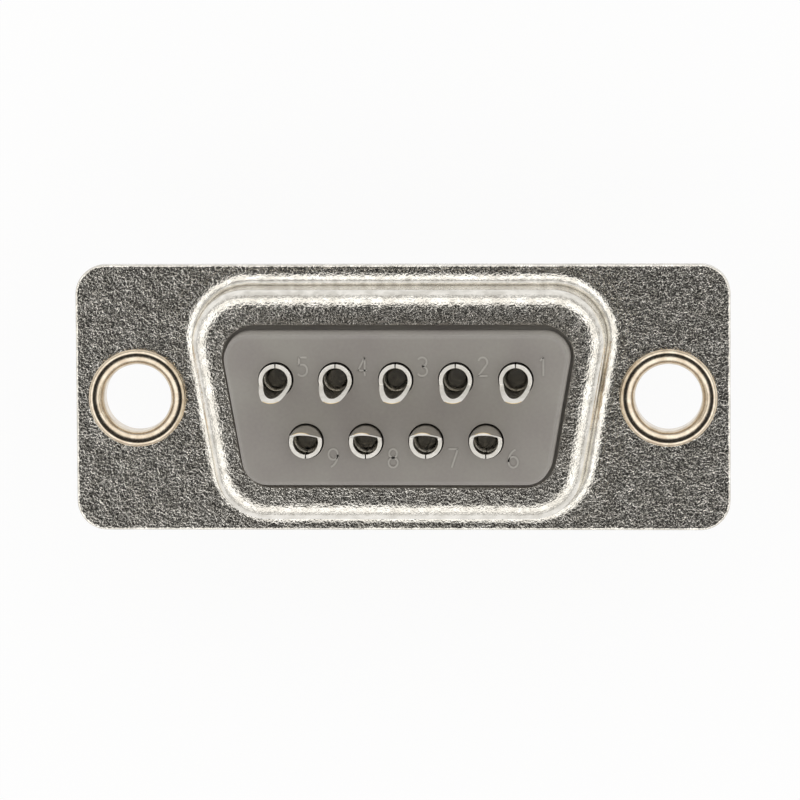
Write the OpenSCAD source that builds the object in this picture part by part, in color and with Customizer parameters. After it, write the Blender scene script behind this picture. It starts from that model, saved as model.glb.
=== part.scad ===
// Nine-way D-subminiature plug with solder cups, lying on its shroud with the
// solder side up. X runs along the long side, Y towards the row of five, Z up.
// The origin is the middle of the two screw holes, on the flange's mating face.

/* [Contact pattern] */
// Distance between neighbouring contacts in a row
pitch = 2.77; // [2.6:0.01:2.85]
// Distance between the row of five and the row of four
row_gap = 2.84; // [2.6:0.01:3]

/* [Flanges] */
// Length of both flanges
flange_w = 30.81; // [30:0.01:33]
// Height of both flanges
flange_h = 12.55; // [12.4:0.01:14]
// Corner radius of both flanges
flange_corner = 1.4; // [0.8:0.1:2.5]
// Distance between the two screw holes
hole_spacing = 24.99; // [24.7:0.01:25.4]
// Thickness of the front shell's sheet
front_sheet = 0.4; // [0.3:0.05:0.6]
// Thickness of the rear shell's sheet
rear_sheet = 0.4; // [0.3:0.05:0.6]
// Radius that shearing leaves on the outer edges of the sheets
edge_roll = 0.12; // [0.05:0.01:0.2]

/* [Front shell] */
// Slope of the D's short sides
side_slope = 10; // [8:0.5:12]
// Inside width of the mating shroud at its wide side
shroud_w = 16.92; // [16.5:0.01:17.1]
// Inside height of the mating shroud
shroud_h = 8.36; // [8:0.01:8.5]
// Inside corner radius of the mating shroud
shroud_corner = 2.6; // [2.2:0.1:2.8]
// Depth of the shroud below the flange's mating face
shroud_depth = 5.84; // [5:0.01:6.5]
// Radius between the flange and the outside of the shroud
shroud_root = 0.2; // [0.1:0.05:0.25]
// Radius on both edges of the shroud's rim
rim_round = 0.12; // [0.05:0.01:0.14]

/* [Rear shell] */
// Outside width of the drawn dome at its wide side
dome_w = 19.28; // [19.2:0.01:19.6]
// Outside height of the drawn dome
dome_h = 10.72; // [10.65:0.01:11]
// Outside corner radius of the dome
dome_corner = 2.5; // [2:0.1:2.8]
// Height of the dome above its flange
dome_rise = 4.0; // [3.4:0.05:4.6]
// Radius of the shoulder round the dome's top
dome_shoulder = 0.85; // [0.65:0.05:1]
// Radius of the fillet at the dome's foot
dome_foot = 0.6; // [0.3:0.05:0.65]
// Gap between the insulator's neck and the opening, at the short sides
end_gap = 0.21; // [0.1:0.01:0.4]
// Gap between the insulator's neck and the opening, along the rows
row_side_gap = 0.31; // [0.1:0.01:0.5]
// Corner radius of the opening in the dome
opening_corner = 1.5; // [1:0.1:2]

/* [Insulators] */
// Width of the rear insulator's neck at its wide side
neck_w = 15.9; // [15.6:0.01:16]
// Height of the rear insulator's neck
neck_h = 6.95; // [6.6:0.01:7]
// Corner radius of the neck
neck_corner = 1.15; // [0.8:0.05:1.6]
// Height of the neck's face above the dome
neck_rise = 1.8; // [1:0.05:3]
// How far the front insulator's nose stands into the shroud
nose_drop = 0.3; // [0:0.05:1]
// Thickness of the front insulator's trapped flange
front_trap = 1.9; // [1.5:0.05:2.4]
// Clearance between the trapped flanges and the dome's inside
trap_gap = 0.05; // [0.02:0.01:0.1]
// Clearance between the nose and the shroud's inside
nose_gap = 0.08; // [0.03:0.01:0.15]

/* [Contacts] */
// Diameter of the mating pin
pin_d = 1.02; // [0.9:0.01:1.1]
// How far the pin's tip lies inside the shroud's rim
pin_recess = 0.35; // [0.1:0.05:1]
// Radius of the arc that draws the pin's nose in
nose_arc = 1.3; // [1:0.1:2]
// Diameter of the blunt end of the pin's nose
tip_d = 0.4; // [0.2:0.05:0.5]
// Outside diameter of the rolled barrel and its solder cup
cup_d = 1.52; // [1.4:0.01:1.7]
// Inside diameter of the solder cup
cup_bore = 1.16; // [1:0.01:1.25]
// Inside diameter of the barrel below the cup
barrel_bore = 0.8; // [0.5:0.05:0.9]
// Depth of the cup below the insulator's face
cup_depth = 0.65; // [0.3:0.05:1.5]
// Length of the cone between the cup and the barrel's bore
neck_cone = 0.25; // [0.1:0.05:0.5]
// Height of the cup's low half above the insulator's face
cup_shelf = 0.45; // [0.2:0.05:1.5]
// How far the cup's low half reaches past the axis, towards the lip
shelf_reach = 0.2; // [0:0.05:0.4]
// Height of the cup's lip above the insulator's face
cup_rise = 3.4; // [2.5:0.05:4.5]
// Width of the flat end of the cup's lip
lip_w = 0.79; // [0.5:0.01:1]
// Width of the rolled seam
seam_w = 0.06; // [0.04:0.01:0.12]
// Diameter of the collar that the insulators hold
collar_d = 2.0; // [1.8:0.05:2.2]
// Length of the collar
collar_l = 0.95; // [0.6:0.05:1.2]
// Clearance round the pin in its hole
pin_gap = 0.04; // [0.02:0.01:0.08]
// Clearance round the barrel in its hole
barrel_gap = 0.065; // [0.03:0.005:0.1]
// Clearance round the collar and above it in its pocket
collar_gap = 0.05; // [0.02:0.01:0.1]

/* [Eyelets] */
// Bore of the eyelets
eyelet_bore = 3.15; // [3:0.01:3.3]
// Wall of the eyelets' tubes
eyelet_wall = 0.2; // [0.15:0.01:0.3]
// Diameter of the rolled rim on the solder side
rolled_rim_d = 4.6; // [4.2:0.05:4.8]
// Height of the rolled rim above the rear flange
rim_rise = 0.36; // [0.3:0.01:0.5]
// Radius of the rolled rim's outer edge
rim_curl = 0.24; // [0.15:0.01:0.3]
// Diameter of the flat head on the mating side
head_d = 4.4; // [4.2:0.05:4.6]
// Thickness of the flat head
head_t = 0.3; // [0.2:0.05:0.4]
// Radius on the flat head's edge
head_round = 0.12; // [0.05:0.01:0.18]
// Clearance between the eyelets' tubes and the flanges' holes
eyelet_gap = 0.03; // [0.01:0.01:0.06]

/* [Hidden] */
$fn = 64;
// Contacts in the long row, and an extra depth for cuts that pass right through
long_row = 5;
past = 1;
// Overlap of two forms that are joined into one, such as a swept band and its flat
lap = 0.1;

// Heights above the flange's mating face
rear_flange_z = front_sheet + rear_sheet;
parting_z = front_sheet + front_trap;
dome_top_z = rear_flange_z + dome_rise;
dome_under_z = dome_top_z - rear_sheet;
face_z = dome_top_z + neck_rise;
tip_z = pin_recess - shroud_depth;
collar_z = parting_z - collar_l / 2;
pocket_top_z = collar_z + collar_l + collar_gap;
shelf_z = face_z + cup_shelf;
lip_z = face_z + cup_rise;

// Sizes that follow from fits
opening_w = neck_w + 2 * end_gap;
opening_h = neck_h + 2 * row_side_gap;
flange_hole_d = eyelet_bore + 2 * (eyelet_wall + eyelet_gap);
bend_step = dome_shoulder - rear_sheet; // inner radius of the dome's bend
root_bend = shroud_root + front_sheet;
foot_bend = dome_foot + rear_sheet;

// A D outline is [widest width, height, corner radius, slope of its short sides]
flange_outline = [flange_w, flange_h, flange_corner, 0];
shroud_outline = [shroud_w, shroud_h, shroud_corner, side_slope];
dome_outline = [dome_w, dome_h, dome_corner, side_slope];
opening_outline = [opening_w, opening_h, opening_corner, side_slope];
neck_outline = [neck_w, neck_h, neck_corner, side_slope];

// Centres of the four corner arcs, counterclockwise from the wide side's right end
function centres(d) =
    let (y = d[1] / 2 - d[2], wide = d[0] / 2 - d[2], narrow = wide - 2 * y * tan(d[3]))
    [[wide, y], [-wide, y], [-narrow, -y], [narrow, -y]];
// Direction that the side after corner i faces, and the one that the side before it faces
function facing(d, i) = [90, 180 + d[3], 270, -d[3]][i];
function facing_before(d, i) = facing(d, (i + 3) % 4);
// Angle that corner i's arc turns through
function arc_turn(d, i) = i < 2 ? 90 + d[3] : 90 - d[3];

// Moves to a point, and turns by an angle, each in a coarse and a fine step, so that
// arcs and straight sides meet to a millionth of a millimetre
module place(p) {
    coarse = [for (x = p) round(x * 100) / 100];
    translate(coarse) translate(p - coarse) children();
}
module turn(a) {
    coarse = atan2(round(sin(a) * 1000000), round(cos(a) * 1000000));
    rotate([0, 0, a]) rotate([0, 0, a - coarse]) children();
}

// Carries a profile round a D outline: the profile's X is the distance out from the
// corner centres and its Y is the height. The halves of each side overlap.
module d_sweep(d) {
    c = centres(d);
    for (i = [0:3]) {
        next = c[(i + 1) % 4];
        reach = 0.6 * norm(next - c[i]);
        place(c[i]) turn(facing_before(d, i)) rotate_extrude(angle = arc_turn(d, i)) children();
        place(c[i]) turn(facing(d, i)) rotate([90, 0, 0])
            translate([0, 0, -reach]) linear_extrude(reach) children();
        place(next) turn(facing(d, i)) rotate([90, 0, 0]) linear_extrude(reach) children();
    }
}

// Quarter of a bend about a centre, between two radii, opening towards [sx, sy]
module bend(centre, inner, outer, sx, sy) {
    translate(centre) intersection() {
        difference() {
            circle(outer);
            circle(inner);
        }
        translate([sx < 0 ? -outer : 0, sy < 0 ? -outer : 0]) square(outer);
    }
}

// Prism with a D outline. Its sides lie half a micron inside the tangents of its corner
// arcs, so that sides and arcs cross instead of grazing each other.
module d_prism(d, grow, z0, z1) {
    c = centres(d);
    r = d[2] + grow;
    inset = 0.0005;
    function tangent(i, a) = c[i] + (r - inset) * [cos(a), sin(a)];
    translate([0, 0, z0]) linear_extrude(z1 - z0) {
        polygon([for (i = [0:3]) each [tangent(i, facing_before(d, i)), tangent(i, facing(d, i))]]);
        for (i = [0:3]) translate(c[i]) circle(r);
    }
}

// Band of rectangular section round a D outline
module band(d, inner, outer, z0, z1) {
    d_sweep(d) translate([inner, z0]) square([outer - inner, z1 - z0]);
}

// Flange sheet from z0 to z1 with the sheared round on its upper or lower edge, and
// with a D-shaped hole grown from the outline that is given
module flange_sheet(z0, z1, round_up, hole, grow) {
    inner = flange_corner - edge_roll;
    edge = round_up ? [z0, z1 - edge_roll] : [z0 + edge_roll, z1];
    difference() {
        d_prism(flange_outline, -edge_roll - lap / 2, z0, z1);
        d_prism(hole, grow + lap / 2, z0 - past, z1 + past);
        flange_holes();
    }
    band(hole, hole[2] + grow, hole[2] + grow + lap, z0, z1);
    band(flange_outline, inner - lap, inner, z0, z1);
    band(flange_outline, inner, flange_corner, edge[0], edge[1]);
    d_sweep(flange_outline)
        bend([inner, round_up ? edge[1] : edge[0]], 0, edge_roll, 1, round_up ? 1 : -1);
}

module at_holes() {
    for (side = [-1, 1]) translate([side * hole_spacing / 2, 0, 0]) children();
}

module flange_holes() {
    at_holes() translate([0, 0, -past])
        cylinder(d = flange_hole_d, h = rear_flange_z + 2 * past);
}

// Rear shell: flange, foot, wall, shoulder and top of one drawn sheet
module rear_shell() {
    wall_z = rear_flange_z + dome_foot;
    bend_z = dome_top_z - dome_shoulder;
    top_u = dome_corner - dome_shoulder;
    color("silver") {
        flange_sheet(front_sheet, rear_flange_z, true, dome_outline, dome_foot);
        d_sweep(dome_outline)
            bend([dome_corner + dome_foot, wall_z], dome_foot, foot_bend, -1, -1);
        band(dome_outline, dome_corner - rear_sheet, dome_corner, wall_z, bend_z);
        d_sweep(dome_outline)
            bend([top_u, bend_z], bend_step, dome_shoulder, 1, 1);
        difference() {
            union() {
                band(dome_outline, top_u - lap, top_u, dome_under_z, dome_top_z);
                d_prism(dome_outline, -dome_shoulder - lap / 2, dome_under_z, dome_top_z);
            }
            d_prism(opening_outline, 0, dome_under_z - past, dome_top_z + past);
        }
    }
}

// Front shell: flange, root and D-shaped mating shroud of one drawn sheet
module front_shell() {
    color("silver") {
        flange_sheet(0, front_sheet, false, shroud_outline, root_bend);
        d_sweep(shroud_outline)
            bend([shroud_corner + root_bend, -shroud_root], shroud_root, root_bend, -1, 1);
        band(shroud_outline, shroud_corner, shroud_corner + front_sheet,
            rim_round - shroud_depth, -shroud_root);
        shroud_rim();
    }
}

// Shroud's rim, with a round on each edge
module shroud_rim() {
    round_z = rim_round - shroud_depth;
    inner = shroud_corner + rim_round;
    outer = shroud_corner + front_sheet - rim_round;
    d_sweep(shroud_outline) bend([inner, round_z], 0, rim_round, -1, -1);
    d_sweep(shroud_outline) bend([outer, round_z], 0, rim_round, 1, -1);
    band(shroud_outline, inner, outer, -shroud_depth, round_z);
}

// Rear insulator: trapped flange and the neck that stands out of the dome
module rear_insulator() {
    color("gray") difference() {
        union() {
            d_prism(dome_outline, -rear_sheet - trap_gap, parting_z, dome_under_z - bend_step);
            d_prism(dome_outline, -dome_shoulder, parting_z, dome_under_z);
            d_prism(neck_outline, 0, parting_z, face_z);
        }
        at_contacts() {
            translate([0, 0, parting_z - past])
                cylinder(d = cup_d + 2 * barrel_gap, h = face_z - parting_z + 2 * past);
            translate([0, 0, parting_z - past])
                cylinder(d = collar_d + 2 * collar_gap, h = pocket_top_z - parting_z + past);
        }
    }
}

// Front insulator: trapped flange and the nose that fills the shroud's root
module front_insulator() {
    color("dimgray") difference() {
        union() {
            d_prism(dome_outline, -rear_sheet - trap_gap, front_sheet, parting_z);
            d_prism(shroud_outline, -nose_gap, -nose_drop, front_sheet + lap);
        }
        at_contacts() {
            translate([0, 0, -nose_drop - past])
                cylinder(d = pin_d + 2 * pin_gap, h = nose_drop + parting_z + 2 * past);
            translate([0, 0, collar_z])
                cylinder(d = collar_d + 2 * collar_gap, h = collar_l + past);
        }
    }
}

// Eyelet: tube that flares into a rolled rim above the flanges, and a flat head below
module eyelet() {
    bore_r = eyelet_bore / 2;
    rim_r = rolled_rim_d / 2;
    crown_r = rim_r - rim_curl;
    crown_z = rear_flange_z + rim_rise;
    flare = crown_r - bore_r;
    head_r = head_d / 2;
    rotate_extrude() {
        difference() {
            union() {
                translate([bore_r, 0]) square([eyelet_wall, crown_z]);
                translate([bore_r, rear_flange_z]) square([rim_r - bore_r, rim_rise]);
            }
            bend([crown_r, crown_z - flare], flare, flare + past, -1, 1);
            bend([crown_r, crown_z - rim_curl], rim_curl, rim_curl + past, 1, 1);
        }
        translate([bore_r, -head_t]) square([head_r - head_round - bore_r, head_t]);
        translate([bore_r, head_round - head_t]) square([head_r - bore_r, head_t - head_round]);
        bend([head_r - head_round, head_round - head_t], 0, head_round, 1, -1);
    }
}

module eyelets() {
    color("tan") at_holes() eyelet();
}

// Place of contact n, counted from the right in the row of five, then in the row of four
function in_long_row(n) = n <= long_row;
function contact_x(n) = in_long_row(n)
    ? ((long_row + 1) / 2 - n) * pitch
    : ((3 * long_row) / 2 - n) * pitch;
function contact_y(n) = (in_long_row(n) ? 1 : -1) * row_gap / 2;

module at_contacts() {
    for (n = [1:2 * long_row - 1]) translate([contact_x(n), contact_y(n), 0]) children();
}

// Half profile of the pin, which ends in an arc that is cut off blunt
module pin_profile() {
    pin_r = pin_d / 2;
    arc_x = pin_r - nose_arc;
    nose_l = sqrt(pow(nose_arc, 2) - pow(tip_d / 2 - arc_x, 2));
    translate([0, tip_z + nose_l]) square([pin_r, collar_z - tip_z - nose_l]);
    intersection() {
        translate([arc_x, tip_z + nose_l]) circle(nose_arc);
        translate([0, tip_z]) square([pin_r, nose_l + pin_r]);
    }
}

// Rolled contact with its seam towards +Y, about its own axis
module rolled_contact() {
    cup_r = cup_d / 2;
    cup_floor_z = face_z - cup_depth;
    cone_z = cup_floor_z - neck_cone;
    lip_y = -sqrt(pow(cup_r, 2) - pow(lip_w / 2, 2));
    barrel_z = pocket_top_z;
    difference() {
        rotate_extrude() {
            pin_profile();
            translate([0, collar_z]) square([collar_d / 2, collar_l]);
            difference() {
                translate([0, collar_z]) square([cup_r, lip_z - collar_z]);
                translate([0, barrel_z]) square([barrel_bore / 2, lip_z]);
                translate([0, cup_floor_z]) square([cup_bore / 2, lip_z]);
                polygon([[0, cone_z], [barrel_bore / 2, cone_z],
                    [cup_bore / 2, cup_floor_z], [0, cup_floor_z]]);
            }
        }
        translate([-seam_w / 2, 0, barrel_z]) cube([seam_w, collar_d, lip_z]);
        rotate([90, 0, 90]) translate([0, 0, -collar_d])
            linear_extrude(2 * collar_d)
                polygon([[collar_d, shelf_z], [-shelf_reach, shelf_z], [lip_y, lip_z],
                    [lip_y, lip_z + past], [collar_d, lip_z + past]]);
    }
}

// Contact n in its place, with its seam outwards and its lip towards the other row
module contact(n) {
    color("gainsboro") translate([contact_x(n), contact_y(n), 0])
        rotate([0, 0, in_long_row(n) ? 0 : 180]) rolled_contact();
}

rear_shell();
front_shell();
rear_insulator();
front_insulator();
eyelets();
contact(1);  // contact_1
contact(2);  // contact_2
contact(3);  // contact_3
contact(4);  // contact_4
contact(5);  // contact_5
contact(6);  // contact_6
contact(7);  // contact_7
contact(8);  // contact_8
contact(9);  // contact_9
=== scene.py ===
"""Looks of a nine-way D-subminiature plug with solder cups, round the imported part.

X runs along the long side, Y towards the row of five, Z up to the solder side, and the
origin is the middle of the two screw holes on the flange's mating face. Sizes in the
classes are millimetres and degrees; meshes are written in metres.
"""

import logging
import math
from dataclasses import dataclass
from enum import Enum

import bmesh
import bpy
import numpy as np
from mathutils import Matrix

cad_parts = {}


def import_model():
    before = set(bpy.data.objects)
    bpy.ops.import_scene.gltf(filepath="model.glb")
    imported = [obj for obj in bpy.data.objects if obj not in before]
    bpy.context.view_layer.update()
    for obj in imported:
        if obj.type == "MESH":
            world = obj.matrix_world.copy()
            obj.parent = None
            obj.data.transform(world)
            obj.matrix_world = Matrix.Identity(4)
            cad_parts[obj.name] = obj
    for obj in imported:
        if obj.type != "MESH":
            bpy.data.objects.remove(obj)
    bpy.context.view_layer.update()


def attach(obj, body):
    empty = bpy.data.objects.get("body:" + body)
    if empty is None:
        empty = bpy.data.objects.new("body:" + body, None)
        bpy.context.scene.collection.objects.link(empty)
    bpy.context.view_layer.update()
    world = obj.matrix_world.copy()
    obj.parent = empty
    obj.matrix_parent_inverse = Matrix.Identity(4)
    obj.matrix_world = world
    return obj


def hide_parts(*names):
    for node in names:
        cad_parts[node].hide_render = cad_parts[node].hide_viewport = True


MM = 0.001
# Distance from a corner to the points that hold a flat, and crease angle in degrees
EDGE = 0.02
CREASE = 28.0
# Vertices closer than this, in metres, are one
MERGE = 1e-8
# Where a side of an outline is divided, and points on an arc of a digit
SIDE_STATIONS = (0.33, 0.67)
DIGIT_ARC_POINTS = 25
LOG = logging.getLogger("connector")

Array = np.ndarray
Colour = tuple[float, float, float]


# ---------------------------------------------------------------- mesh helpers


def quads(rows: int, cols: int, wrap_rows: bool, wrap_cols: bool) -> Array:
    """Faces of a grid of vertices stored row by row.

    Face (r, c) joins (r, c), (r, c+1), (r+1, c+1), (r+1, c), with indices taken round
    the end where the grid wraps.

    Args:
        rows: Number of vertex rows.
        cols: Number of vertices in a row.
        wrap_rows: True if the last row joins the first.
        wrap_cols: True if the last column joins the first.

    Returns:
        Array of shape (faces, 4).
    """
    r = np.arange(rows if wrap_rows else rows - 1)[:, None]
    c = np.arange(cols if wrap_cols else cols - 1)[None, :]
    r1, c1 = (r + 1) % rows, (c + 1) % cols
    faces = np.stack([r * cols + c, r * cols + c1, r1 * cols + c1, r1 * cols + c], -1)
    return faces.reshape(-1, 4)


@dataclass
class Form:
    """Vertices in millimetres and the faces that join them."""

    points: Array
    faces: list[list[int]]

    def __add__(self, other: "Form") -> "Form":
        """Both forms as one, the other's faces counted on from this one's vertices.

        Args:
            other: The second form.

        Returns:
            The joint form.
        """
        start = len(self.points)
        moved = [[i + start for i in face] for face in other.faces]
        return Form(np.vstack([self.points, other.points]), self.faces + moved)

    def moved(self, x: float, y: float, z: float = 0.0, turn: float = 0.0) -> "Form":
        """The form turned about Z, then shifted.

        Args:
            x: Shift along X.
            y: Shift along Y.
            z: Shift along Z.
            turn: Angle about Z in degrees.

        Returns:
            The moved copy.
        """
        c, s = math.cos(math.radians(turn)), math.sin(math.radians(turn))
        spin = np.array([[c, -s, 0.0], [s, c, 0.0], [0.0, 0.0, 1.0]])
        return Form(self.points @ spin.T + np.array([x, y, z]), self.faces)

    def solid(self, name: str, sharp: float = CREASE) -> bpy.types.Object:
        """Writes the form into a named object at the origin, in metres.

        Args:
            name: Name of the object and its mesh.
            sharp: Angle in degrees above which an edge is shaded as a crease.

        Returns:
            The object, with doubled vertices merged and poles closed.
        """
        mesh = bpy.data.meshes.new(name)
        mesh.from_pydata((self.points * MM).tolist(), [], self.faces)
        work = bmesh.new()
        work.from_mesh(mesh)
        bmesh.ops.remove_doubles(work, verts=work.verts, dist=MERGE)
        bmesh.ops.dissolve_degenerate(work, edges=work.edges, dist=MERGE)
        work.to_mesh(mesh)
        work.free()
        shade(mesh, sharp)
        obj = bpy.data.objects.new(name, mesh)
        bpy.context.scene.collection.objects.link(obj)
        return obj


def shade(mesh: bpy.types.Mesh, sharp: float) -> None:
    """Shades a mesh smooth between its creases.

    Args:
        mesh: The mesh.
        sharp: Angle in degrees above which an edge is a crease.
    """
    mesh.shade_smooth()
    mesh.set_sharp_from_angle(angle=math.radians(sharp))
    mesh.update()


def bored(obj: bpy.types.Object, cutter: Form) -> bpy.types.Object:
    """Takes the cutter's volume out of the object's mesh.

    Args:
        obj: The object to bore.
        cutter: Closed form in millimetres.

    Returns:
        The same object with its new mesh.
    """
    tool = cutter.solid("tool")
    cut = obj.modifiers.new("bore", "BOOLEAN")
    cut.operation, cut.solver, cut.object = "DIFFERENCE", "EXACT", tool
    graph = bpy.context.evaluated_depsgraph_get()
    mesh = bpy.data.meshes.new_from_object(obj.evaluated_get(graph))
    obj.modifiers.clear()
    old, obj.data = obj.data, mesh
    mesh.name = obj.name
    bpy.data.meshes.remove(old)
    bpy.data.meshes.remove(tool.data)
    shade(mesh, CREASE)
    return obj


def arc(u: float, z: float, r: float, start: float, end: float, steps: int = 12) -> Array:
    """Points (u + r cos a, z + r sin a) for a going evenly from start to end degrees."""
    a = np.radians(np.linspace(start, end, steps + 1))
    return np.stack([u + r * np.cos(a), z + r * np.sin(a)], -1)


def held(profile: Array, closed: bool = True) -> Array:
    """Adds points close to both ends of each long straight of a profile.

    A straight from p to q gets p + e(q - p) and q - e(q - p), with e chosen so that the
    point is EDGE away, which keeps flat faces flat under smooth shading.

    Args:
        profile: Points (u, z) in order.
        closed: True if the last point joins the first.

    Returns:
        The longer profile.
    """
    ends = np.roll(profile, -1, axis=0) if closed else profile[1:]
    starts = profile if closed else profile[:-1]
    run = ends - starts
    length = np.linalg.norm(run, axis=1)
    wide = length > 4 * EDGE
    step = np.where(wide, EDGE / np.maximum(length, 1e-9), 0.0)[:, None]
    block = np.stack([starts, starts + step * run, ends - step * run], 1)
    keep = np.stack([np.ones(len(run), bool), wide, wide], 1)
    out = block.reshape(-1, 2)[keep.reshape(-1)]
    return out if closed else np.vstack([out, profile[-1:]])


def revolve(profile: Array, steps: int = 96, closed: bool = True) -> Form:
    """Turns a profile of (radius, height) about the Z axis.

    Vertex (k, j) is (r_k cos b_j, r_k sin b_j, z_k), with b_j going evenly round.

    Args:
        profile: Points in order, material on their left.
        steps: Stations round the axis.
        closed: True for a ring; False if the profile starts and ends on the axis.

    Returns:
        The turned form.
    """
    b = np.linspace(0.0, 2.0 * np.pi, steps, endpoint=False)
    r, z = profile[:, 0:1], profile[:, 1:2]
    grid = np.stack([r * np.cos(b), r * np.sin(b), z + 0.0 * b], -1)
    return Form(grid.reshape(-1, 3), quads(len(profile), steps, closed, True).tolist())


def oval(x: float, y: float, rx: float, ry: float, start: float, end: float) -> Array:
    """Points (x + rx cos a, y + ry sin a) for a going evenly from start to end degrees."""
    a = np.radians(np.linspace(start, end, DIGIT_ARC_POINTS))
    return np.stack([x + rx * np.cos(a), y + ry * np.sin(a)], -1)


def ribbon(path: Array, width: float, low: float, high: float) -> Form:
    """A raised stroke of rectangular section along a path.

    Each edge is the path moved half the width to its left or right, at low and at high.

    Args:
        path: Points (x, y) in order.
        width: Width of the stroke.
        low: Height of its underside.
        high: Height of its top.

    Returns:
        The closed form.
    """
    run = np.gradient(path, axis=0)
    run /= np.linalg.norm(run, axis=1)[:, None]
    side = np.stack([-run[:, 1], run[:, 0]], -1) * width / 2
    rows = [(side, low), (-side, low), (-side, high), (side, high)]
    grid = np.stack([np.column_stack([path + off, np.full(len(path), z)]) for off, z in rows])
    count = len(path)
    faces = quads(4, count, True, False)[:, ::-1].tolist()
    faces.append([k * count for k in range(4)])
    faces.append([k * count + count - 1 for k in range(4)][::-1])
    return Form(grid.reshape(-1, 3), faces)


def digit_paths(digit: int) -> list[Array]:
    """Strokes of a plain digit, one unit high and half a unit wide.

    Args:
        digit: The digit, from 1 to 9.

    Returns:
        Paths of points (x, y), counted from the digit's lower left corner.
    """
    six = [oval(0.25, 0.29, 0.25, 0.29, 0, 360), oval(0.55, 0.3, 0.55, 0.7, 180, 108)]
    shapes = {
        1: [np.array([[0.1, 0.8], [0.27, 1.0]]), np.array([[0.27, 1.0], [0.27, 0.0]])],
        2: [oval(0.25, 0.74, 0.24, 0.26, 165, -30), np.array([[0.45, 0.6], [0.0, 0.0]]),
            np.array([[0.0, 0.0], [0.5, 0.0]])],
        3: [oval(0.22, 0.76, 0.24, 0.24, 150, -90), oval(0.22, 0.26, 0.27, 0.26, 90, -150)],
        4: [np.array([[0.36, 0.0], [0.36, 1.0]]), np.array([[0.36, 1.0], [0.0, 0.3]]),
            np.array([[0.0, 0.3], [0.5, 0.3]])],
        5: [np.array([[0.46, 1.0], [0.06, 1.0]]), np.array([[0.06, 1.0], [0.04, 0.55]]),
            oval(0.21, 0.31, 0.28, 0.31, 125, -140)],
        6: six,
        7: [np.array([[0.0, 1.0], [0.5, 1.0]]), np.array([[0.5, 1.0], [0.17, 0.0]])],
        8: [oval(0.25, 0.76, 0.21, 0.24, 0, 360), oval(0.25, 0.26, 0.25, 0.26, 0, 360)],
        9: [np.array([0.5, 1.0]) - path for path in six],
    }
    return shapes[digit]


def bore(radius: float, span: tuple[float, float], steps: int) -> Form:
    """A plug about the Z axis, for cutting a hole.

    Args:
        radius: Radius of the hole.
        span: Heights of its two ends.
        steps: Stations round the axis.

    Returns:
        The closed plug.
    """
    low, high = span
    side = np.array([[0.0, low], [radius, low], [radius, high], [0.0, high]])
    return revolve(side, steps, closed=False)


# ---------------------------------------------------------------- D outlines


@dataclass(frozen=True)
class Outline:
    """D outline: four corner arcs joined by straight sides, the short ones sloping.

    Width is the widest one, and slope is in degrees. Each arc has this many steps.
    """

    width: float
    height: float
    corner: float
    slope: float = 0.0
    steps: int = 16

    def centres(self) -> Array:
        """Centres of the corner arcs.

        Returns:
            Points (x, y), counterclockwise from the wide side's right end.
        """
        y = self.height / 2 - self.corner
        wide = self.width / 2 - self.corner
        narrow = wide - 2 * y * math.tan(math.radians(self.slope))
        return np.array([[wide, y], [-wide, y], [-narrow, -y], [narrow, -y]])

    def stations(self) -> tuple[Array, Array]:
        """Centre and outward direction of each station round the outline.

        On a corner the direction turns evenly about one centre; on a side the direction
        is fixed and the centre slides from one corner's to the next.

        Returns:
            Centres and unit directions, each of shape (stations, 2).
        """
        c = self.centres()
        turn = np.array([90.0, 180.0 + self.slope, 270.0, 360.0 - self.slope])
        before = np.array([-self.slope, *turn[:3]])
        t = np.linspace(0.0, 1.0, self.steps + 1)
        on_arc = before[:, None] + (turn - before)[:, None] * t
        following = np.roll(c, -1, axis=0)
        length = np.linalg.norm(following - c, axis=1)
        e = EDGE / length
        s = np.stack([e, *(share + 0 * e for share in SIDE_STATIONS), 1.0 - e], 1)
        on_side = np.repeat(turn[:, None], 4, axis=1)
        angle = np.radians(np.concatenate([on_arc, on_side], 1).reshape(-1))
        slid = c[:, None, :] + s[:, :, None] * (following - c)[:, None, :]
        fixed = np.repeat(c[:, None, :], self.steps + 1, axis=1)
        centre = np.concatenate([fixed, slid], 1).reshape(-1, 2)
        return centre, np.stack([np.cos(angle), np.sin(angle)], -1)

    def ring(self, grow: float, z: float) -> Array:
        """The grown outline at a height: centre + (corner + grow) times direction.

        Args:
            grow: Distance outwards from the outline.
            z: Height.

        Returns:
            Points, one for each station.
        """
        centre, out = self.stations()
        flat = centre + (self.corner + grow) * out
        return np.column_stack([flat, np.full(len(flat), z)])

    def rings(self, profile: Array) -> list[Array]:
        """One ring for each (grow, height) of a profile."""
        return [self.ring(float(g), float(z)) for g, z in profile]


def loft(rings: list[Array], closed: bool) -> Form:
    """Joins rings of equal station count by faces.

    Args:
        rings: Rings in order, material on the left of their path.
        closed: True if the last ring joins the first; otherwise both ends are capped.

    Returns:
        The closed form.
    """
    cols = len(rings[0])
    faces = quads(len(rings), cols, closed, True).tolist()
    if not closed:
        last = (len(rings) - 1) * cols
        faces.append(list(range(cols))[::-1])
        faces.append(list(range(last, last + cols)))
    return Form(np.vstack(rings), faces)


# ---------------------------------------------------------------- finishes


class Plastic(Enum):
    """Which plastic a piece is made of."""

    NUMBERS = "raised_numbers"
    SOLDER_SIDE = "solder_side_moulding"
    MATING_SIDE = "mating_side_moulding"


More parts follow.
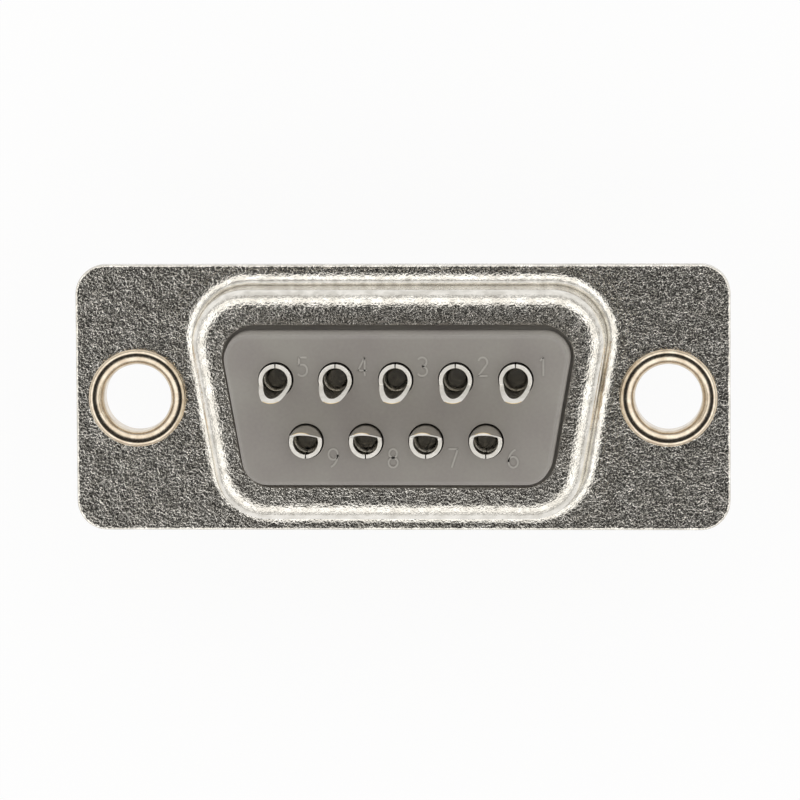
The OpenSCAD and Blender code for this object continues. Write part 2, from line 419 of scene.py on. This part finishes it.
class Nodes:
    """A material's node tree, with short calls to fill it."""

    def __init__(self, name: str) -> None:
        """Starts an empty material.

        Args:
            name: Its name.
        """
        self.material = bpy.data.materials.new(name)
        self.material.use_nodes = True
        self.tree = self.material.node_tree
        self.tree.nodes.clear()

    def add(self, kind: str, **values: object) -> bpy.types.Node:
        """Adds a node.

        Args:
            kind: Blender's name of the node.
            values: Its properties, or the values of its input sockets.

        Returns:
            The node.
        """
        node = self.tree.nodes.new(kind)
        for key, value in values.items():
            label = key.replace("_", " ")
            if hasattr(node, key):
                setattr(node, key, value)
            else:
                node.inputs[label].default_value = value
        return node

    def link(self, start: bpy.types.NodeSocket, end: bpy.types.NodeSocket) -> None:
        """Joins an output socket to an input socket."""
        self.tree.links.new(start, end)

    def millimetres(self) -> bpy.types.NodeSocket:
        """Object coordinates scaled to millimetres.

        Returns:
            The coordinates.
        """
        place = self.add("ShaderNodeTexCoord")
        scale = self.add("ShaderNodeVectorMath", operation="SCALE")
        scale.inputs["Scale"].default_value = 1.0 / MM
        self.link(place.outputs["Object"], scale.inputs[0])
        return scale.outputs[0]

    def noise(self, place: bpy.types.NodeSocket, size: float, detail: float = 2.0,
              roughness: float = 0.5) -> bpy.types.NodeSocket:
        """Noise of a given cell size.

        Args:
            place: Coordinates in millimetres.
            size: Size of the cells in millimetres.
            detail: Number of finer layers.
            roughness: Weight of the finer layers.

        Returns:
            The noise, from 0 to 1.
        """
        node = self.add("ShaderNodeTexNoise")
        node.inputs["Scale"].default_value = 1.0 / size
        node.inputs["Detail"].default_value = detail
        node.inputs["Roughness"].default_value = roughness
        self.link(place, node.inputs["Vector"])
        return node.outputs["Fac"]

    def spread(self, value: bpy.types.NodeSocket, low: float, high: float,
               to_low: float, to_high: float) -> bpy.types.NodeSocket:
        """A value mapped from one range to another, and held inside it.

        Args:
            value: The value.
            low: Start of its range.
            high: End of its range.
            to_low: Result at the start.
            to_high: Result at the end.

        Returns:
            The result.
        """
        node = self.add("ShaderNodeMapRange")
        for key, number in (("From Min", low), ("From Max", high),
                            ("To Min", to_low), ("To Max", to_high)):
            node.inputs[key].default_value = number
        self.link(value, node.inputs["Value"])
        return node.outputs["Result"]

    def maths(self, operation: str, a: object, b: object) -> bpy.types.NodeSocket:
        """One sum.

        Args:
            operation: Blender's name of the sum.
            a: Number or socket.
            b: Number or socket.

        Returns:
            The result.
        """
        node = self.add("ShaderNodeMath", operation=operation)
        for socket, value in zip(node.inputs, (a, b)):
            if isinstance(value, (int, float)):
                socket.default_value = value
            else:
                self.link(value, socket)
        return node.outputs[0]

    def blend(self, factor: bpy.types.NodeSocket, a: Colour, b: Colour
              ) -> bpy.types.NodeSocket:
        """A colour between two.

        Args:
            factor: Share of the second colour.
            a: First colour.
            b: Second colour.

        Returns:
            The colour.
        """
        node = self.add("ShaderNodeMix", data_type="RGBA")
        self.link(factor, node.inputs["Factor"])
        node.inputs[6].default_value = (*a, 1.0)
        node.inputs[7].default_value = (*b, 1.0)
        return node.outputs[2]

    def bump(self, height: bpy.types.NodeSocket, depth: float,
             strength: bpy.types.NodeSocket | None = None,
             below: bpy.types.NodeSocket | None = None) -> bpy.types.NodeSocket:
        """A normal bent by a height.

        Args:
            height: The height, from 0 to 1.
            depth: What a height of 1 measures, in millimetres.
            strength: Share of the bend, where it isn't all.
            below: Normal that is bent further, where it isn't the surface's own.

        Returns:
            The normal.
        """
        node = self.add("ShaderNodeBump")
        node.inputs["Distance"].default_value = depth * MM
        self.link(height, node.inputs["Height"])
        if strength is not None:
            self.link(strength, node.inputs["Strength"])
        if below is not None:
            self.link(below, node.inputs["Normal"])
        return node.outputs["Normal"]

    def surface(self, metallic: float) -> bpy.types.Node:
        """The closing shader, joined to the output.

        Args:
            metallic: 1 for a metal, 0 for a plastic.

        Returns:
            The shader.
        """
        shader = self.add("ShaderNodeBsdfPrincipled")
        shader.inputs["Metallic"].default_value = metallic
        output = self.add("ShaderNodeOutputMaterial")
        self.link(shader.outputs[0], output.inputs["Surface"])
        return shader


@dataclass(frozen=True)
class PlatedSteel:
    """Bright plated steel sheet: an orange-peel grain that drawing has smoothed.

    Grain is the size of its cells, coarse how many times larger the broad cells are, and
    depth the grain's depth. The sheet is drawn smooth between the heights drawn_from and
    drawn_to, where the share drawn of the grain is left.
    """

    name: str = "plated_steel"
    pale: Colour = (0.88, 0.85, 0.79)
    dull: Colour = (0.70, 0.67, 0.61)
    roughness: float = 0.09
    grain: float = 0.12
    depth: float = 0.040
    coarse: float = 4.5
    coarse_depth: float = 0.8
    rougher: float = 0.1
    drawn: float = 0.28
    drawn_from: float = 0.82
    drawn_fade: float = 0.18
    drawn_until: float = 4.42
    drawn_to: float = 4.72

    def build(self) -> bpy.types.Material:
        """Makes the material.

        The grain is deepest on the flats, below drawn_from and above drawn_to. Upwards it
        fades within drawn_fade, and grows again from drawn_until.

        Returns:
            The material.
        """
        n = Nodes(self.name)
        place = n.millimetres()
        split = n.add("ShaderNodeSeparateXYZ")
        n.link(place, split.inputs[0])
        height = split.outputs["Z"]
        low = n.spread(height, self.drawn_from, self.drawn_from + self.drawn_fade, 1.0, 0.0)
        high = n.spread(height, self.drawn_until, self.drawn_to, 0.0, 1.0)
        flat = n.spread(n.maths("MAXIMUM", low, high), 0.0, 1.0, self.drawn, 1.0)
        fine = n.noise(place, self.grain, 2.0, 0.6)
        coarse = n.noise(place, self.grain * self.coarse, 1.0)
        broad = n.bump(coarse, self.depth * self.coarse_depth, flat)
        shader = n.surface(1.0)
        n.link(n.blend(n.spread(coarse, 0.35, 0.65, 0.0, 1.0), self.pale, self.dull),
               shader.inputs["Base Color"])
        n.link(n.spread(fine, 0.3, 0.7, self.roughness, self.roughness + self.rougher),
               shader.inputs["Roughness"])
        n.link(n.bump(fine, self.depth, flat, broad), shader.inputs["Normal"])
        return n.material


@dataclass(frozen=True)
class TurnedMetal:
    """Plated copper alloy with clouds and fine rolling marks.

    Cloud and mark are the sizes of those cells, and depth is that of the marks. Above
    the height bare_from the bare alloy shows.
    """

    name: str
    pale: Colour
    dull: Colour
    roughness: float
    rougher: float = 0.08
    cloud: float = 0.45
    cloud_depth: float = 0.006
    mark: float = 0.08
    depth: float = 0.002
    bare: Colour = (0.83, 0.66, 0.36)
    bare_fade: float = 0.015
    bare_from: float = 99.0

    def build(self) -> bpy.types.Material:
        """Makes the material.

        Returns:
            The material.
        """
        n = Nodes(self.name)
        place = n.millimetres()
        split = n.add("ShaderNodeSeparateXYZ")
        n.link(place, split.inputs[0])
        cloud = n.noise(place, self.cloud, 3.0)
        fine = n.noise(place, self.mark, 2.0)
        bare = n.spread(split.outputs["Z"], self.bare_from - self.bare_fade, self.bare_from,
                        0.0, 1.0)
        shader = n.surface(1.0)
        plated = n.blend(n.spread(cloud, 0.35, 0.65, 0.0, 1.0), self.pale, self.dull)
        mix = n.add("ShaderNodeMix", data_type="RGBA")
        n.link(bare, mix.inputs["Factor"])
        n.link(plated, mix.inputs[6])
        mix.inputs[7].default_value = (*self.bare, 1.0)
        n.link(mix.outputs[2], shader.inputs["Base Color"])
        n.link(n.spread(fine, 0.3, 0.7, self.roughness, self.roughness + self.rougher),
               shader.inputs["Roughness"])
        n.link(n.bump(fine, self.depth, None, n.bump(cloud, self.cloud_depth)),
               shader.inputs["Normal"])
        return n.material


@dataclass(frozen=True)
class GreyMoulding:
    """Warm grey glass-filled moulding with a slightly mottled, satin skin.

    Cloud and speck are the sizes of the mottling's cells, each with its depth, and
    cloud_share is how far the clouds decide the colour.
    """

    name: str
    light: Colour
    dark: Colour
    smooth: float = 0.37
    rough: float = 0.52
    cloud: float = 3.2
    cloud_depth: float = 0.02
    cloud_share: float = 0.75
    speck: float = 0.16
    speck_depth: float = 0.004

    def build(self) -> bpy.types.Material:
        """Makes the material.

        Returns:
            The material.
        """
        n = Nodes(self.name)
        place = n.millimetres()
        broad = n.noise(place, self.cloud, 2.0)
        fine = n.noise(place, self.speck, 3.0)
        shade_by = n.maths("ADD", n.maths("MULTIPLY", broad, self.cloud_share),
                           n.maths("MULTIPLY", fine, 1.0 - self.cloud_share))
        shader = n.surface(0.0)
        n.link(n.blend(n.spread(shade_by, 0.36, 0.64, 0.0, 1.0), self.light, self.dark),
               shader.inputs["Base Color"])
        n.link(n.spread(fine, 0.3, 0.7, self.smooth, self.rough), shader.inputs["Roughness"])
        n.link(n.bump(fine, self.speck_depth, None, n.bump(broad, self.cloud_depth)),
               shader.inputs["Normal"])
        return n.material


# ---------------------------------------------------------------- sub-assemblies


@dataclass
class Shells:
    """The two drawn steel shells: flanges, dome over the solder side, mating shroud.

    Run is how far the flats go on past a bend before they are joined to the next outline.
    """

    flange: Outline = Outline(30.81, 12.55, 1.4)
    shroud: Outline = Outline(16.92, 8.36, 2.6, 10.0)
    dome: Outline = Outline(19.28, 10.72, 2.5, 10.0)
    opening: Outline = Outline(16.32, 7.57, 1.5, 10.0)
    sheet: float = 0.4
    edge_roll: float = 0.12
    depth: float = 5.84
    root: float = 0.2
    rise: float = 4.0
    shoulder: float = 0.85
    foot: float = 0.6
    rim_round: float = 0.12
    run: float = 0.03
    roof_run: float = 0.02
    lip_worn: tuple[tuple[float, float], ...] = ((0.02, 0.004), (0.0, 0.03))
    hole_span: tuple[float, float] = (-1.0, 1.5)
    hole_r: float = 1.805
    hole_x: float = 12.495

    def cutter(self) -> Form:
        """Two plugs through both flanges at the screw holes."""
        plug = bore(self.hole_r, self.hole_span, 96)
        return plug.moved(self.hole_x, 0.0) + plug.moved(-self.hole_x, 0.0)

    def rear(self) -> bpy.types.Object:
        """Rear shell: the sheet's section carried round the D, underside first.

        Returns:
            The shell, with its screw holes.
        """
        base, top = self.sheet, 2 * self.sheet
        wall_z, roof = top + self.foot, top + self.rise
        inner_foot = self.foot + self.sheet
        under = held(np.vstack([
            [[-self.shoulder - self.roof_run, roof - self.sheet]],
            arc(-self.shoulder, roof - self.shoulder, self.shoulder - self.sheet, 90, 0),
            arc(self.foot, wall_z, inner_foot, 180, 270),
            [[self.foot + self.run, base]],
        ]), closed=False)
        over = held(np.vstack([
            [[self.foot + self.run, top]],
            arc(self.foot, wall_z, self.foot, 270, 180),
            arc(-self.shoulder, roof - self.shoulder, self.shoulder, 0, 90),
            [[-self.shoulder - self.roof_run, roof]],
        ]), closed=False)
        edge = np.vstack([
            [[-self.edge_roll - EDGE, base], [-EDGE, base], [0.0, base], [0.0, base + EDGE]],
            arc(-self.edge_roll, top - self.edge_roll, self.edge_roll, 0, 90, 8),
            [[-self.edge_roll - EDGE, top]],
        ])
        worn = [[grow, roof - drop] for grow, drop in self.lip_worn]
        lip = np.array([[EDGE, roof], *worn,
                        [0.0, roof - self.sheet + EDGE], [0.0, roof - self.sheet],
                        [EDGE, roof - self.sheet]])
        rings = (self.dome.rings(under) + self.flange.rings(edge)
                 + self.dome.rings(over) + self.opening.rings(lip))
        return bored(loft(rings, closed=True).solid("rear_shell_drawn"), self.cutter())

    def front(self) -> bpy.types.Object:
        """Front shell: shroud's rim, outer wall, root and flange, then back inside.

        Returns:
            The shell, with its screw holes.
        """
        top, wall = self.sheet, self.sheet
        round_r, rim = self.rim_round, -self.depth
        bend = self.root + wall
        outside = held(np.vstack([
            arc(round_r, rim + round_r, round_r, 180, 270, 6),
            arc(wall - round_r, rim + round_r, round_r, 270, 360, 6),
            arc(bend, -self.root, self.root, 180, 90),
            [[bend + self.run, 0.0]],
        ]), closed=False)
        inside = held(np.vstack([
            [[bend + self.run, top]],
            arc(bend, -self.root, bend, 90, 180),
            [[0.0, rim + round_r + EDGE / 2]],
        ]), closed=False)
        edge = np.vstack([
            [[-self.edge_roll - EDGE, 0.0]],
            arc(-self.edge_roll, self.edge_roll, self.edge_roll, 270, 360, 8),
            [[0.0, top - EDGE], [0.0, top], [-EDGE, top], [-self.edge_roll - EDGE, top]],
        ])
        rings = self.shroud.rings(outside) + self.flange.rings(edge) + self.shroud.rings(inside)
        return bored(loft(rings, closed=True).solid("front_shell_drawn"), self.cutter())

    def build(self, steel: bpy.types.Material) -> None:
        """Builds both shells and lets them stand for their nodes.

        Args:
            steel: Their material.
        """
        for obj, node in ((self.rear(), "rear_shell"), (self.front(), "front_shell")):
            dress(obj, steel, node)


@dataclass
class ContactPattern:
    """Places of the nine contacts."""

    pitch: float = 2.77
    row_gap: float = 2.84
    long_row: int = 5

    def place(self, number: int) -> tuple[float, float, float]:
        """Place of a contact.

        Args:
            number: Its number, counted from the right, first in the long row.

        Returns:
            X, Y and turn in degrees.
        """
        if number <= self.long_row:
            return ((self.long_row + 1) / 2 - number) * self.pitch, self.row_gap / 2, 0.0
        return (3 * self.long_row / 2 - number) * self.pitch, -self.row_gap / 2, 180.0

    def at_all(self, form: Form) -> Form:
        """The form repeated at every contact.

        Args:
            form: The form, about the contact's axis.

        Returns:
            All copies as one form.
        """
        x, y, _ = self.place(1)
        out = form.moved(x, y)
        for number in range(2, 2 * self.long_row):
            x, y, _ = self.place(number)
            out = out + form.moved(x, y)
        return out


@dataclass
class Insulators:
    """Both mouldings and the raised contact numbers.

    Draft is how far the neck's sides lean out on their way down, and round_run how far
    the face goes on past its round. Numerals stand at numeral_right of their contact.
    """

    pattern: ContactPattern
    neck: Outline = Outline(15.9, 6.95, 1.15, 10.0)
    trap: Outline = Outline(18.38, 9.82, 2.05, 10.0)
    step: Outline = Outline(17.58, 9.02, 1.65, 10.0)
    nose: Outline = Outline(16.76, 8.2, 2.52, 10.0)
    face: float = 6.6
    face_round: float = 0.2
    round_run: float = 0.05
    draft: float = 0.08
    parting: float = 2.3
    trap_top: float = 3.95
    step_top: float = 4.4
    front_base: float = 0.4
    nose_drop: float = 0.3
    nose_round: float = 0.06
    cup_hole_r: float = 0.825
    cup_hole_span: tuple[float, float] = (2.0, 7.0)
    pin_hole_r: float = 0.55
    pin_hole_span: tuple[float, float] = (-1.0, 3.0)
    numeral: float = 0.86
    numeral_right: float = 1.035
    numeral_y: tuple[float, float] = (1.60, -2.64)
    stroke: float = 0.085
    relief: float = 0.035

    def rear(self) -> bpy.types.Object:
        """Solder-side moulding: trapped flange, neck with a rounded face edge, cup holes.

        Returns:
            The moulding.
        """
        r = self.face_round
        body = held(np.vstack([
            [[self.draft, self.step_top]], arc(-r, self.face - r, r, 0, 90, 8),
            [[-r - self.round_run, self.face]],
        ]), closed=False)
        trapped = np.array([[0.0, self.parting], [0.0, self.trap_top]])
        step = np.array([[0.0, self.trap_top], [0.0, self.step_top]])
        rings = self.trap.rings(trapped) + self.step.rings(step) + self.neck.rings(body)
        obj = loft(rings, closed=False).solid("rear_insulator_moulded")
        return bored(obj, self.pattern.at_all(bore(self.cup_hole_r, self.cup_hole_span, 72)))

    def front(self) -> bpy.types.Object:
        """Mating-side moulding: nose inside the shroud's root, trapped flange, pin holes.

        Returns:
            The moulding.
        """
        r = self.nose_round
        nose = held(np.vstack([
            [[-2 * r, -self.nose_drop]],
            arc(-r, -self.nose_drop + r, r, 270, 360, 4),
            [[0.0, self.front_base]],
        ]), closed=False)
        trapped = np.array([[0.0, self.front_base], [0.0, self.parting]])
        rings = self.nose.rings(nose) + self.trap.rings(trapped)
        obj = loft(rings, closed=False).solid("front_insulator_moulded")
        return bored(obj, self.pattern.at_all(bore(self.pin_hole_r, self.pin_hole_span, 64)))

    def numerals(self) -> bpy.types.Object:
        """Raised contact numbers, each to the right of its contact.

        Returns:
            All strokes as one piece.
        """
        strokes = []
        for number in range(1, 2 * self.pattern.long_row):
            x, y, _ = self.pattern.place(number)
            corner = np.array([x + self.numeral_right, self.numeral_y[y < 0]])
            strokes += [ribbon(corner + self.numeral * path, self.stroke,
                               self.face - self.relief, self.face + self.relief)
                        for path in digit_paths(number)]
        whole = strokes[0]
        for stroke in strokes[1:]:
            whole = whole + stroke
        return whole.solid("contact_numbers")

    def build(self, grey: dict[Plastic, bpy.types.Material]) -> None:
        """Builds the numbers and both mouldings, which stand for their nodes.

        Args:
            grey: Material of each piece.
        """
        dress(self.numerals(), grey[Plastic.NUMBERS], None)
        dress(self.rear(), grey[Plastic.SOLDER_SIDE], "rear_insulator")
        dress(self.front(), grey[Plastic.MATING_SIDE], "front_insulator")


@dataclass
class Contacts:
    """Rolled contacts: blunt pin, collar, barrel, and a cup cut down to one lip.

    Burr is the worn width on the cut's edges, and its drops are how far the wall ends
    below the cut, at the wall and close to the edge.
    """

    pattern: ContactPattern
    pin_r: float = 0.51
    tip_z: float = -5.49
    nose_arc: float = 1.3
    tip_r: float = 0.2
    collar_z: float = 1.825
    collar_top: float = 2.775
    collar_r: float = 1.0
    barrel_z: float = 2.825
    cup_r: float = 0.76
    bore_r: float = 0.58
    barrel_r: float = 0.4
    cone_z: float = 5.7
    floor_z: float = 5.95
    shelf_z: float = 7.05
    shelf_reach: float = 0.2
    lip_z: float = 10.0
    lip_w: float = 0.79
    seam: float = 0.06
    cut_lean: float = 0.05
    cut_from: float = 6.95
    burr: float = 0.02
    burr_drops: tuple[float, float] = (0.04, 0.015)
    mark_r: tuple[float, float] = (0.69, 0.6)

    def pin(self) -> Form:
        """Pin and collar: the half profile turned about the axis.

        Returns:
            The form, about the contact's axis.
        """
        centre = self.pin_r - self.nose_arc
        end = math.degrees(math.acos((self.tip_r - centre) / self.nose_arc))
        nose_z = self.tip_z + self.nose_arc * math.sin(math.radians(end))
        profile = held(np.vstack([
            [[0.0, self.tip_z]],
            arc(centre, nose_z, self.nose_arc, -end, 0, 14),
            [[self.pin_r, self.collar_z], [self.collar_r, self.collar_z],
             [self.collar_r, self.collar_top], [self.cup_r, self.collar_top],
             [self.cup_r, self.barrel_z], [0.0, self.barrel_z]],
        ]), closed=False)
        return revolve(profile, 64, closed=False)

    def lip_y(self) -> float:
        """Distance from the axis at which the cut reaches the lip, which is lip_w wide."""
        return -math.sqrt(self.cup_r**2 - (self.lip_w / 2) ** 2)

    def cut_height(self, y: Array) -> Array:
        """Height of the cut.

        It is the shelf down to y = -shelf_reach, rises evenly to the lip at lip_y, and
        stays there.

        Args:
            y: Distances from the axis towards the seam.

        Returns:
            A height for each distance.
        """
        share = np.clip((y + self.shelf_reach) / (self.lip_y() + self.shelf_reach), 0.0, 1.0)
        return self.shelf_z + (self.lip_z - self.shelf_z) * share

    def cup(self) -> Form:
        """Barrel and cup: a closed wall profile carried round from seam edge to seam edge.

        Vertex (k, j) is at radius r_k in direction b_j; its height is z_k, or the cut's
        height there for the points along the cut. Both seam faces are closed by caps.

        Returns:
            The form, about the contact's axis.
        """
        gap = math.asin(self.seam / 2 / self.cup_r)
        lip_y, reach = self.lip_y(), self.shelf_reach
        outer, inner = self.mark_r
        marks = [math.acos(lip_y / self.cup_r), math.acos(lip_y / outer),
                 math.acos(-reach / self.cup_r), math.acos(-reach / inner)]
        turn = np.linspace(gap, 2 * math.pi - gap, 129)
        turn = np.unique(np.concatenate([turn, marks, [2 * math.pi - m for m in marks]]))
        radii = np.array([self.barrel_r, self.cup_r, self.cup_r, self.cup_r,
                          self.cup_r - self.burr, self.bore_r + self.burr,
                          self.bore_r, self.bore_r, self.bore_r, self.barrel_r])
        x = radii[:, None] * np.sin(turn)[None, :]
        y = radii[:, None] * np.cos(turn)[None, :]
        cut = self.cut_height(y)
        base = self.barrel_z - EDGE
        far, near = self.burr_drops
        z = np.stack([
            base + 0 * turn, base + 0 * turn, cut[2] - far, cut[3] - near,
            cut[4], cut[5], cut[6] - near, cut[7] - far,
            self.floor_z + 0 * turn, self.cone_z + 0 * turn])
        count, rows = len(turn), len(radii)
        grid = np.stack([x, y, z], -1).reshape(-1, 3)
        faces = quads(rows, count, True, False)[:, ::-1].tolist()
        faces.append([k * count for k in range(rows)][::-1])
        faces.append([k * count + count - 1 for k in range(rows)])
        return Form(grid, faces)

    def sheared(self, obj: bpy.types.Object, edge: bpy.types.Material) -> None:
        """Gives the cup's cut faces, which lean upwards, their own metal.

        Args:
            obj: The contact.
            edge: The metal.
        """
        mesh = obj.data
        mesh.materials.append(edge)
        count = len(mesh.polygons)
        normal, centre = np.empty(3 * count), np.empty(3 * count)
        mesh.polygons.foreach_get("normal", normal)
        mesh.polygons.foreach_get("center", centre)
        leaning = normal[2::3] > self.cut_lean
        cut = leaning & (centre[2::3] > self.cut_from * MM)
        mesh.polygons.foreach_set("material_index", cut.astype(np.int32))
        mesh.update()

    def build(self, plating: bpy.types.Material, edge: bpy.types.Material) -> None:
        """Builds the nine contacts, each standing for its own node.

        Args:
            plating: Material of the contacts.
            edge: Material of their cut faces.
        """
        whole = self.pin() + self.cup()
        for number in range(1, 2 * self.pattern.long_row):
            x, y, turn = self.pattern.place(number)
            obj = whole.moved(x, y, 0.0, turn).solid(f"cup_contact_{number}")
            dress(obj, plating, f"contact_{number}")
            self.sheared(obj, edge)


@dataclass
class Eyelets:
    """Two tubes rolled over on the solder side, with a flat head on the mating side.

    The rim stands rim_rise above the flange at the height top, and its outer edge has
    the radius rim_curl.
    """

    bore_r: float = 1.575
    wall: float = 0.2
    rim_r: float = 2.3
    head_r: float = 2.2
    head_t: float = 0.3
    head_round: float = 0.12
    top: float = 0.8
    rim_rise: float = 0.36
    rim_curl: float = 0.24
    x: float = 12.495

    def build(self, metal: bpy.types.Material) -> None:
        """Builds both eyelets from one turned section, counterclockwise from the head.

        Args:
            metal: Their material.
        """
        crown_r, crown_z = self.rim_r - self.rim_curl, self.top + self.rim_rise
        flare = crown_r - self.bore_r
        profile = held(np.vstack([
            [[self.bore_r, -self.head_t]],
            arc(self.head_r - self.head_round, self.head_round - self.head_t,
                self.head_round, 270, 360, 8),
            [[self.head_r, 0.0], [self.bore_r + self.wall, 0.0],
             [self.bore_r + self.wall, self.top], [self.rim_r, self.top]],
            arc(crown_r, crown_z - self.rim_curl, self.rim_curl, 0, 90, 14),
            arc(crown_r, crown_z - flare, flare, 90, 180, 20)[1:],
        ]))
        one = revolve(profile, 128)
        obj = (one.moved(self.x, 0.0) + one.moved(-self.x, 0.0)).solid("eyelets_rolled")
        dress(obj, metal, "eyelets")


def dress(obj: bpy.types.Object, material: bpy.types.Material,
          node: str | None) -> None:
    """Gives a piece its material, slot and body, and lets it stand for a node.

    Args:
        obj: The piece.
        material: Its material.
        node: The CAD node that it replaces, or None for an addition.
    """
    obj.data.materials.clear()
    obj.data.materials.append(material)
    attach(obj, "root")
    if node:
        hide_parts(node)
    LOG.info("%s: %d faces", obj.name, len(obj.data.polygons))


# ---------------------------------------------------------------- studio


@dataclass
class Studio:
    """Pale floor, a tent of soft light with a dark hole overhead, and the camera.

    Lengths are millimetres. The camera stands at distance from the height aim_z, leaning
    by lean_x and lean_y degrees. The frame is so many parts wide, a millimetre there
    takes scale of them, and shift moves the frame by parts. The sky gives the light's
    share at the sine of the height over the horizon.
    """

    floor_z: float = -5.84
    floor_half: float = 3000.0
    floor_colour: float = 0.9
    seen_white: float = 0.9
    mirrored_white: float = 0.8
    light: float = 1.45
    distance: float = 290.0
    lean_x: float = 3.07
    lean_y: float = 5.85
    aim_z: float = 0.8
    scale: float = 21.27
    parts: float = 800.0
    shift: tuple[float, float] = (-2.5, -2.3)
    sensor: float = 36.0
    clip: tuple[float, float] = (0.01, 20.0)
    tint: Colour = (1.0, 0.99, 0.97)
    sky: tuple[tuple[float, float], ...] = (
        (0.0, 0.55), (0.04, 0.25), (0.20, 0.30), (0.38, 1.0), (0.80, 1.0), (0.90, 0.12),
        (0.94, 0.02))

    def floor(self) -> None:
        """A wide floor, white to the camera, that still takes the object's shadow."""
        half = self.floor_half
        plane = Form(np.array([[-half, -half, 0.0], [half, -half, 0.0],
                               [half, half, 0.0], [-half, half, 0.0]]), [[0, 1, 2, 3]])
        obj = plane.moved(0.0, 0.0, self.floor_z).solid("floor")
        n = Nodes("pale_floor")
        path = n.add("ShaderNodeLightPath")
        matt = n.add("ShaderNodeBsdfDiffuse")
        matt.inputs["Color"].default_value = (*[self.floor_colour] * 3, 1.0)
        white = n.add("ShaderNodeEmission")
        white.inputs["Strength"].default_value = 1.0
        seen = n.maths("MULTIPLY", path.outputs["Is Camera Ray"], self.seen_white)
        mirrored = n.maths("MULTIPLY", path.outputs["Is Glossy Ray"], self.mirrored_white)
        seen = n.maths("MAXIMUM", seen, mirrored)
        seen = n.maths("MAXIMUM", seen, path.outputs["Is Transmission Ray"])
        mix = n.add("ShaderNodeMixShader")
        n.link(seen, mix.inputs[0])
        n.link(matt.outputs[0], mix.inputs[1])
        n.link(white.outputs[0], mix.inputs[2])
        output = n.add("ShaderNodeOutputMaterial")
        n.link(mix.outputs[0], output.inputs["Surface"])
        obj.data.materials.append(n.material)

    def world(self) -> None:
        """Soft light by height over the horizon, white at strength 1 to the camera.

        The strength is light times the value that the sky's steps give at the sine of
        the direction's height: dim at the horizon, bright on the tent's walls, and
        nearly black in the hole overhead.
        """
        world = bpy.data.worlds.new("studio")
        world.use_nodes = True
        tree = world.node_tree
        tree.nodes.clear()
        path = tree.nodes.new("ShaderNodeLightPath")
        strength = tree.nodes.new("ShaderNodeMapRange")
        tent = tree.nodes.new("ShaderNodeMath")
        tent.operation = "MULTIPLY"
        tent.inputs[1].default_value = self.light
        place = tree.nodes.new("ShaderNodeTexCoord")
        split = tree.nodes.new("ShaderNodeSeparateXYZ")
        ramp = tree.nodes.new("ShaderNodeValToRGB")
        steps = ramp.color_ramp.elements
        while len(steps) < len(self.sky):
            steps.new(0.5)
        for step, (height, value) in zip(steps, self.sky):
            step.position, step.color = height, (value, value, value, 1.0)
        tree.links.new(place.outputs["Generated"], split.inputs[0])
        tree.links.new(split.outputs["Z"], ramp.inputs[0])
        tree.links.new(ramp.outputs[0], tent.inputs[0])
        tree.links.new(tent.outputs[0], strength.inputs["To Min"])
        strength.inputs["To Max"].default_value = 1.0
        shell = tree.nodes.new("ShaderNodeBackground")
        output = tree.nodes.new("ShaderNodeOutputWorld")
        tree.links.new(path.outputs["Is Camera Ray"], strength.inputs["Value"])
        tree.links.new(strength.outputs["Result"], shell.inputs["Strength"])
        tree.links.new(shell.outputs[0], output.inputs["Surface"])
        shell.inputs["Color"].default_value = (*self.tint, 1.0)
        bpy.context.scene.world = world

    def camera(self) -> None:
        """Camera above the solder side, leaning a little to the right and the long row."""
        data = bpy.data.cameras.new("camera")
        data.sensor_width = self.sensor
        data.lens = self.scale * self.distance * data.sensor_width / self.parts
        data.clip_start, data.clip_end = self.clip
        data.shift_x, data.shift_y = (move / self.parts for move in self.shift)
        a, b = math.radians(self.lean_y), math.radians(self.lean_x)
        back = np.array([math.sin(b) * math.cos(a), math.sin(a), math.cos(a) * math.cos(b)])
        right = np.array([1.0, 0.0, 0.0]) - back[0] * back
        right /= np.linalg.norm(right)
        up = np.cross(back, right)
        spot = back * self.distance + np.array([0.0, 0.0, self.aim_z])
        matrix = np.eye(4)
        matrix[:3] = np.column_stack([right, up, back, spot * MM])
        obj = bpy.data.objects.new("camera", data)
        bpy.context.scene.collection.objects.link(obj)
        obj.matrix_world = Matrix(matrix.tolist())
        bpy.context.scene.camera = obj

    def build(self) -> None:
        """Sets the stage, the light and the camera."""
        self.floor()
        self.world()
        self.camera()
        bpy.context.scene.view_settings.view_transform = "Standard"


# ---------------------------------------------------------------- assembly


def main() -> None:
    """Builds the finishes, the pieces in order, and the studio."""
    logging.basicConfig(level=logging.INFO, format="%(message)s")
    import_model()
    steel = PlatedSteel().build()
    tin = TurnedMetal("contact_plating", (0.93, 0.90, 0.84), (0.80, 0.77, 0.70), 0.16,
                      bare_from=10.0).build()
    eyelet_metal = TurnedMetal("eyelet_plating", (0.78, 0.69, 0.56), (0.62, 0.52, 0.40),
                               0.14).build()
    shades = {
        Plastic.SOLDER_SIDE: ((0.31, 0.295, 0.27), (0.27, 0.25, 0.235)),
        Plastic.MATING_SIDE: ((0.31, 0.295, 0.27), (0.27, 0.25, 0.235)),
        Plastic.NUMBERS: ((0.44, 0.42, 0.39), (0.36, 0.345, 0.32)),
    }
    grey = {kind: GreyMoulding(kind.value, *pair).build() for kind, pair in shades.items()}
    pattern = ContactPattern()
    Shells().build(steel)
    Insulators(pattern).build(grey)
    Eyelets().build(eyelet_metal)
    edge = TurnedMetal("sheared_edge", (0.98, 0.96, 0.92), (0.88, 0.86, 0.81), 0.62,
                       bare_from=9.99).build()
    Contacts(pattern).build(tin, edge)
    Studio().build()


if __name__ == "__main__":
    main()
